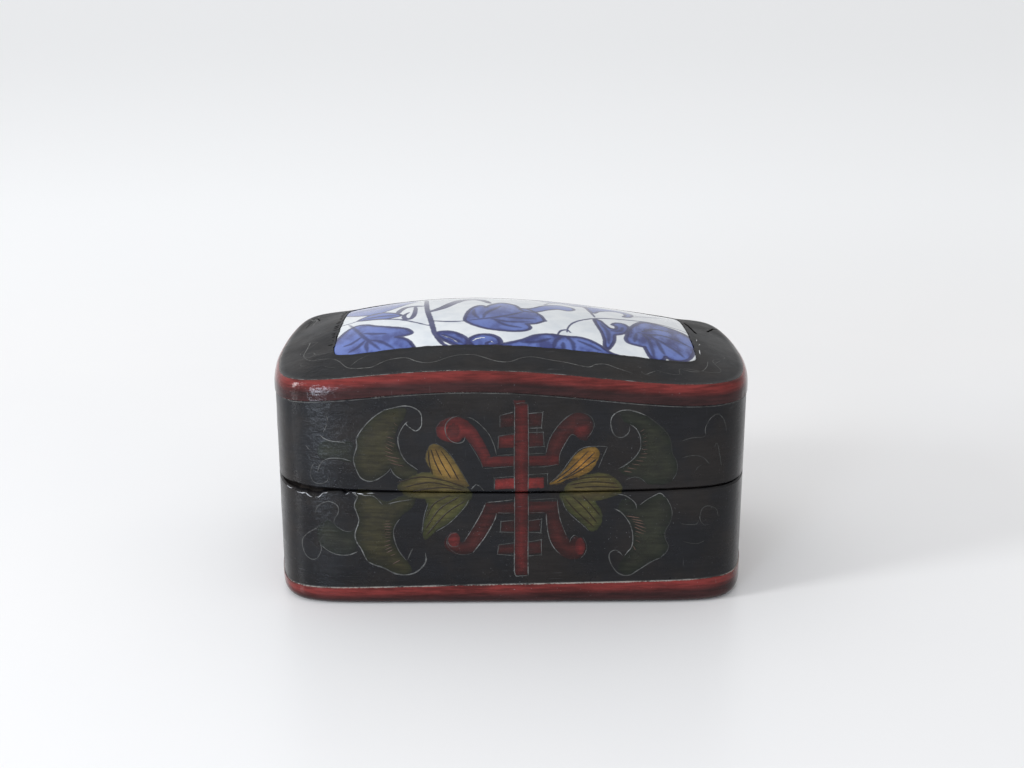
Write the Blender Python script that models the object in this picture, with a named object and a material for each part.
"""A lacquered wooden box with a curved porcelain shard set in its lift-off lid.

Metres, +Z up. The front faces -Y, the length runs along X, and the box stands on Z = 0.
Every piece is a stack of closed rings, one point of each ring above the other, joined with
bridge_loops. All rings come from one line, the outer face of the wall seen from above.
"""

import math

import bmesh
import bpy
import numpy as np

# The whole box, seen from above.
BOX_LENGTH = 0.1196
BOX_DEPTH = 0.0714
SQUARENESS = 9.5
END_BOW = 0.0045

# Walls, floor and the locating lip.
WALL = 0.005
FLOOR = 0.005
INNER_FILLET = 0.003
LIP_HEIGHT = 0.003
LIP_WIDTH = 0.0022
EASE = 0.0004

# Gaps between pieces that meet.
SEAM_GAP = 0.0003
LIP_CLEARANCE = 0.0003
SHARD_GAP = 0.0003

# The seam between base and lid, higher at the ends than in the middle.
SEAM_HEIGHT = 0.0306
SEAM_SAG = 0.0014

# The two raised bands of thick lacquer.
BAND_PROUD = 0.0002
FOOT_ROUND = 0.0022
BASE_BAND = 0.0054
LID_BAND = 0.0051

# The lid's top: an arched border line, and a crown that rises inside it. The hand-made top
# falls a little towards its back right corner.
BORDER_HEIGHT = 0.0560
BORDER_ARCH = 0.0040
ARCH_X = -0.0100
ARCH_REACH = 0.0615
CROWN_RISE = 0.0069
CROWN_X = 0.0026
CROWN_POWER_LENGTH = 3.8
CROWN_POWER_DEPTH = 2.0
BACK_RIGHT_FALL = 0.0018
SHOULDER_INSET = 0.0012
SHOULDER_DROP = 0.0036
LID_TOP = 0.0082

# The shard and its opening in the lid's top.
FRAME_LEFT = 0.0156
FRAME_RIGHT = 0.0136
FRAME_FRONT = 0.0109
OPENING_SQUARENESS = 14.0
SHARD_THICKNESS = 0.0036

# How finely the shapes are divided.
POINTS = 80
ROUND_STEPS = 3
CROWN_SHARES = (0.34, 0.67)
CENTRE_SHARES = (0.72, 0.44, 0.18)
SHARP_ANGLE = math.radians(28.0)


def wall_line():
    """Points of the wall's outer face seen from above, and the outward direction at each.

    The line is a squarish oval whose ends swell a little. The points are spaced by length,
    and closer where the line turns.
    """
    angle = np.linspace(0.0, 2.0 * math.pi, 3601)
    powers = np.abs(np.cos(angle)) ** SQUARENESS + np.abs(np.sin(angle)) ** SQUARENESS
    reach = powers ** (-1.0 / SQUARENESS)
    across = reach * np.cos(angle)
    along = reach * np.sin(angle)
    x = across * (BOX_LENGTH / 2 - END_BOW * along**2)
    y = along * BOX_DEPTH / 2
    heading = np.unwrap(np.arctan2(np.gradient(y), np.gradient(x)))
    length = np.hypot(np.diff(x), np.diff(y))
    turning = np.abs(np.diff(heading))
    travelled = np.concatenate([[0.0], np.cumsum(length + 0.012 * turning)])
    wanted = np.arange(POINTS) / POINTS * travelled[-1]
    heading = np.interp(wanted, travelled, heading)
    line = np.column_stack([np.interp(wanted, travelled, x), np.interp(wanted, travelled, y)])
    outward = np.column_stack([np.sin(heading), -np.cos(heading)])
    return line, outward


LINE, OUTWARD = wall_line()


def seam_height(x):
    """Height of the seam: it sags towards the middle of the box."""
    return SEAM_HEIGHT - SEAM_SAG * np.cos(np.clip(x / (BOX_LENGTH / 2), -1, 1) * math.pi / 2)


def border_height(x):
    """Height of the border line round the lid's top: it arches over the long sides."""
    share = np.clip((x - ARCH_X) / ARCH_REACH, -1.0, 1.0)
    return BORDER_HEIGHT + BORDER_ARCH * np.cos(share * math.pi / 2) ** 2


def top_height(x, y):
    """Height of the lid's top: the border line's height, a crown that rises inside it, and the
    fall towards the back right corner."""
    half_length = BOX_LENGTH / 2 - SHOULDER_INSET
    half_depth = BOX_DEPTH / 2 - SHOULDER_INSET
    side = np.where(x < CROWN_X, CROWN_X + half_length, half_length - CROWN_X)
    lengthways = np.clip(np.abs(x - CROWN_X) / side, 0, 1) ** CROWN_POWER_LENGTH
    depthways = np.clip(np.abs(y) / half_depth, 0, 1) ** CROWN_POWER_DEPTH
    crown = CROWN_RISE * (1 - lengthways) * (1 - depthways)
    rightwards = np.clip(x / half_length, 0, 1)
    backwards = np.clip((y / half_depth + 1) / 2, 0, 1)
    return border_height(x) + crown - BACK_RIGHT_FALL * (rightwards * backwards) ** 2


def ring(inset, height):
    """The wall line moved inwards by inset. The height is a number, an array or a function of x."""
    flat = LINE - OUTWARD * inset
    z = height(flat[:, 0]) if callable(height) else height
    return np.column_stack([flat, np.broadcast_to(z, POINTS)])


def opening_line(inset):
    """The shard's opening seen from above, a rectangle with small round corners, point by
    point in the same directions as the wall line. The inset makes it smaller on all sides."""
    left = -BOX_LENGTH / 2 + FRAME_LEFT
    right = BOX_LENGTH / 2 - FRAME_RIGHT
    half = np.array([(right - left) / 2, BOX_DEPTH / 2 - FRAME_FRONT]) - inset
    centre = np.array([(left + right) / 2, 0.0])
    direction = (LINE - centre) / half
    reach = np.sum(np.abs(direction) ** OPENING_SQUARENESS, axis=1) ** (-1.0 / OPENING_SQUARENESS)
    return centre, direction * half * reach[:, None]


def opening_ring(inset, below, share=1.0):
    """A ring of the opening, drawn together towards its centre by share, at a given depth
    below the lid's top."""
    centre, arms = opening_line(inset)
    flat = centre + arms * share
    return np.column_stack([flat, top_height(flat[:, 0], flat[:, 1]) - below])


def opening_centre(below):
    """The point in the middle of the opening, at a given depth below the lid's top."""
    centre, _ = opening_line(0.0)
    return np.array([[centre[0], centre[1], float(top_height(centre[0], centre[1])) - below]])


def lofted(name, rings, material):
    """One closed solid through the rings. A ring of one point closes that end as a fan, and an
    end ring of many points is closed by one flat face."""
    mesh = bmesh.new()
    loops = []
    for points in rings:
        vertices = [mesh.verts.new(point) for point in points]
        if len(vertices) == 1:
            loops.append(vertices)
            continue
        edges = [mesh.edges.new((vertices[i - 1], vertices[i])) for i in range(len(vertices))]
        loops.append((vertices, edges))
    for lower, upper in zip(loops, loops[1:]):
        if len(lower) == 1 or len(upper) == 1:
            tip = lower[0] if len(lower) == 1 else upper[0]
            rim = upper[0] if len(lower) == 1 else lower[0]
            for i in range(len(rim)):
                mesh.faces.new((rim[i - 1], rim[i], tip))
            continue
        bmesh.ops.bridge_loops(mesh, edges=lower[1] + upper[1])
    for loop in (loops[0], loops[-1]):
        if len(loop) == 2:
            mesh.faces.new(loop[0])
    bmesh.ops.recalc_face_normals(mesh, faces=mesh.faces[:])
    data = bpy.data.meshes.new(name)
    mesh.to_mesh(data)
    mesh.free()
    data.shade_smooth()
    data.set_sharp_from_angle(angle=SHARP_ANGLE)
    data.materials.append(material)
    piece = bpy.data.objects.new(name, data)
    bpy.context.scene.collection.objects.link(piece)
    return piece


def quarter(steps):
    """Angles of a quarter turn, both ends included."""
    return np.linspace(0.0, math.pi / 2, steps + 1)


def make_base(material):
    """The tray: rounded foot, raised band, wall, rim with the locating lip, hollow inside."""
    rings = []
    for turn in quarter(ROUND_STEPS):
        inset = FOOT_ROUND * (1 - math.sin(turn)) - BAND_PROUD
        rings.append(ring(inset, FOOT_ROUND * (1 - math.cos(turn))))
    rings.append(ring(-BAND_PROUD, BASE_BAND - BAND_PROUD))
    rings.append(ring(0.0, BASE_BAND))
    rim = seam_height
    ledge = WALL - LIP_WIDTH
    rings.append(ring(0.0, lambda x: rim(x) - EASE))
    rings.append(ring(EASE, rim))
    rings.append(ring(ledge, rim))
    rings.append(ring(ledge, lambda x: rim(x) + LIP_HEIGHT - EASE))
    rings.append(ring(ledge + EASE, lambda x: rim(x) + LIP_HEIGHT))
    rings.append(ring(WALL - EASE, lambda x: rim(x) + LIP_HEIGHT))
    rings.append(ring(WALL, lambda x: rim(x) + LIP_HEIGHT - EASE))
    for turn in quarter(ROUND_STEPS):
        inset = WALL + INNER_FILLET * (1 - math.cos(turn))
        rings.append(ring(inset, FLOOR + INNER_FILLET * (1 - math.sin(turn))))
    return lofted("base", rings, material)


def make_lid(material):
    """The lid: from the pocket's middle out over the top, down the wall and up into the hollow."""
    pocket = SHARD_THICKNESS + SHARD_GAP
    rings = [opening_centre(pocket)]
    rings += [opening_ring(0.0, pocket, share) for share in reversed(CENTRE_SHARES)]
    rings += [opening_ring(0.0, pocket), opening_ring(0.0, 0.0)]
    border = ring(SHOULDER_INSET, 0.0)
    border[:, 2] = top_height(border[:, 0], border[:, 1])
    opening = opening_ring(0.0, 0.0)
    for share in reversed(CROWN_SHARES):
        middle = border * (1 - share) + opening * share
        middle[:, 2] = top_height(middle[:, 0], middle[:, 1])
        rings.append(middle)
    for turn in quarter(ROUND_STEPS):
        inset = SHOULDER_INSET - (SHOULDER_INSET + BAND_PROUD) * math.sin(turn)
        rings.append(ring(inset, border[:, 2] - SHOULDER_DROP * (1 - math.cos(turn))))
    rings.append(ring(-BAND_PROUD, border[:, 2] - LID_BAND + BAND_PROUD))
    rings.append(ring(0.0, border[:, 2] - LID_BAND))
    rebate = WALL - LIP_WIDTH - LIP_CLEARANCE
    rebate_top = SEAM_GAP + LIP_HEIGHT + LIP_CLEARANCE
    rings.append(ring(0.0, lambda x: seam_height(x) + SEAM_GAP + EASE))
    rings.append(ring(EASE, lambda x: seam_height(x) + SEAM_GAP))
    rings.append(ring(rebate, lambda x: seam_height(x) + SEAM_GAP))
    rings.append(ring(rebate, lambda x: seam_height(x) + rebate_top))
    rings.append(ring(WALL, lambda x: seam_height(x) + rebate_top))
    for turn in quarter(ROUND_STEPS):
        hollow = ring(WALL + INNER_FILLET * (1 - math.cos(turn)), 0.0)
        ceiling = top_height(hollow[:, 0], hollow[:, 1]) - LID_TOP
        hollow[:, 2] = ceiling - INNER_FILLET * (1 - math.sin(turn))
        rings.append(hollow)
    rim = rings[-1][:, :2]
    centre = opening_centre(LID_TOP)
    for share in CENTRE_SHARES:
        flat = centre[0, :2] + (rim - centre[0, :2]) * share
        rings.append(np.column_stack([flat, top_height(flat[:, 0], flat[:, 1]) - LID_TOP]))
    rings.append(centre)
    return lofted("lid", rings, material)


def make_shard(material):
    """The porcelain shard: a curved plate that follows the lid's top, with eased edges."""
    rings = [opening_centre(SHARD_THICKNESS)]
    rings += [opening_ring(SHARD_GAP, SHARD_THICKNESS, share) for share in reversed(CENTRE_SHARES)]
    rings.append(opening_ring(SHARD_GAP, SHARD_THICKNESS))
    rings.append(opening_ring(SHARD_GAP, EASE))
    rings.append(opening_ring(SHARD_GAP + EASE, 0.0))
    rings += [opening_ring(SHARD_GAP, 0.0, share) for share in CENTRE_SHARES]
    rings.append(opening_centre(0.0))
    return lofted("porcelain_shard", rings, material)


def finish(name, colour, roughness):
    """A plain surface with the part's colour, roughness and no metal in it."""
    material = bpy.data.materials.new(name)
    material.use_nodes = True
    shader = material.node_tree.nodes["Principled BSDF"]
    shader.inputs["Base Color"].default_value = (*colour, 1.0)
    shader.inputs["Roughness"].default_value = roughness
    shader.inputs["Metallic"].default_value = 0.0
    return material


def main():
    for leftover in list(bpy.data.objects):
        bpy.data.objects.remove(leftover)
    make_base(finish("base_lacquer", (0.018, 0.017, 0.016), 0.28))
    make_lid(finish("lid_lacquer", (0.024, 0.023, 0.021), 0.28))
    make_shard(finish("glazed_porcelain", (0.78, 0.80, 0.80), 0.12))


main()
